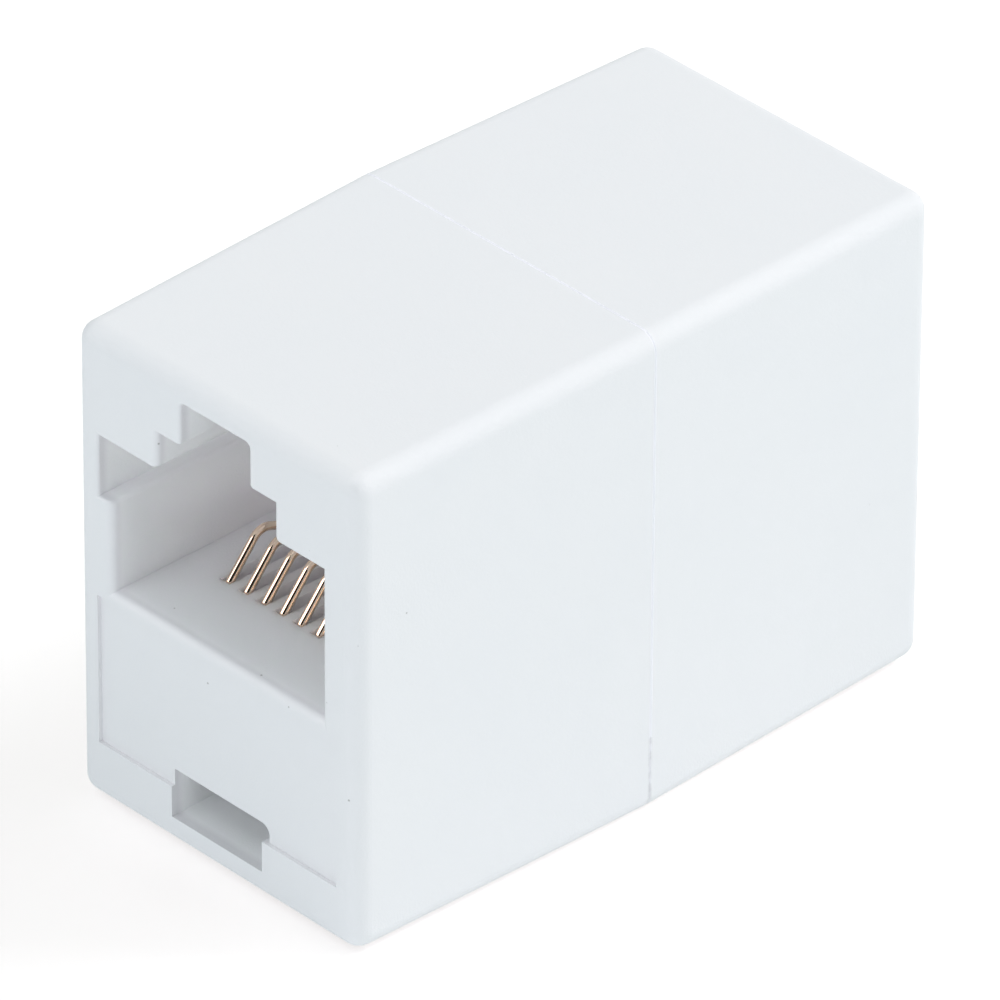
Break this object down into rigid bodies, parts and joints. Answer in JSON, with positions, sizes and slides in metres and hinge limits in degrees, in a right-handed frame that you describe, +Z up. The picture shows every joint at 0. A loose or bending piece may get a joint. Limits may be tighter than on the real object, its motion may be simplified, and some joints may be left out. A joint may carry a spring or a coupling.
{
  "type": "rj45 inline coupler",
  "caption": "Straight in-line coupler that joins two eight-way modular network plugs end to end.",
  "frame": {"origin": "middle of the underside, below the seam between the two housing halves", "axes": "+X across the width, +Y along the plug axis from the front jack to the rear jack, +Z up, with the front jack's latch slot at the top"},
  "size_m": [0.0166, 0.0306, 0.0221],
  "materials": {
    "housing_white": "satin",
    "carrier_white": "satin",
    "contact_gold": "polished"
  },
  "bodies": {
    "root": {"front_housing": "housing_white", "rear_housing": "housing_white", "contact_carrier": "carrier_white", "contact_wire_1": "contact_gold", "contact_wire_2": "contact_gold", "contact_wire_3": "contact_gold", "contact_wire_4": "contact_gold", "contact_wire_5": "contact_gold", "contact_wire_6": "contact_gold", "contact_wire_7": "contact_gold", "contact_wire_8": "contact_gold"}
  },
  "joints": []
}
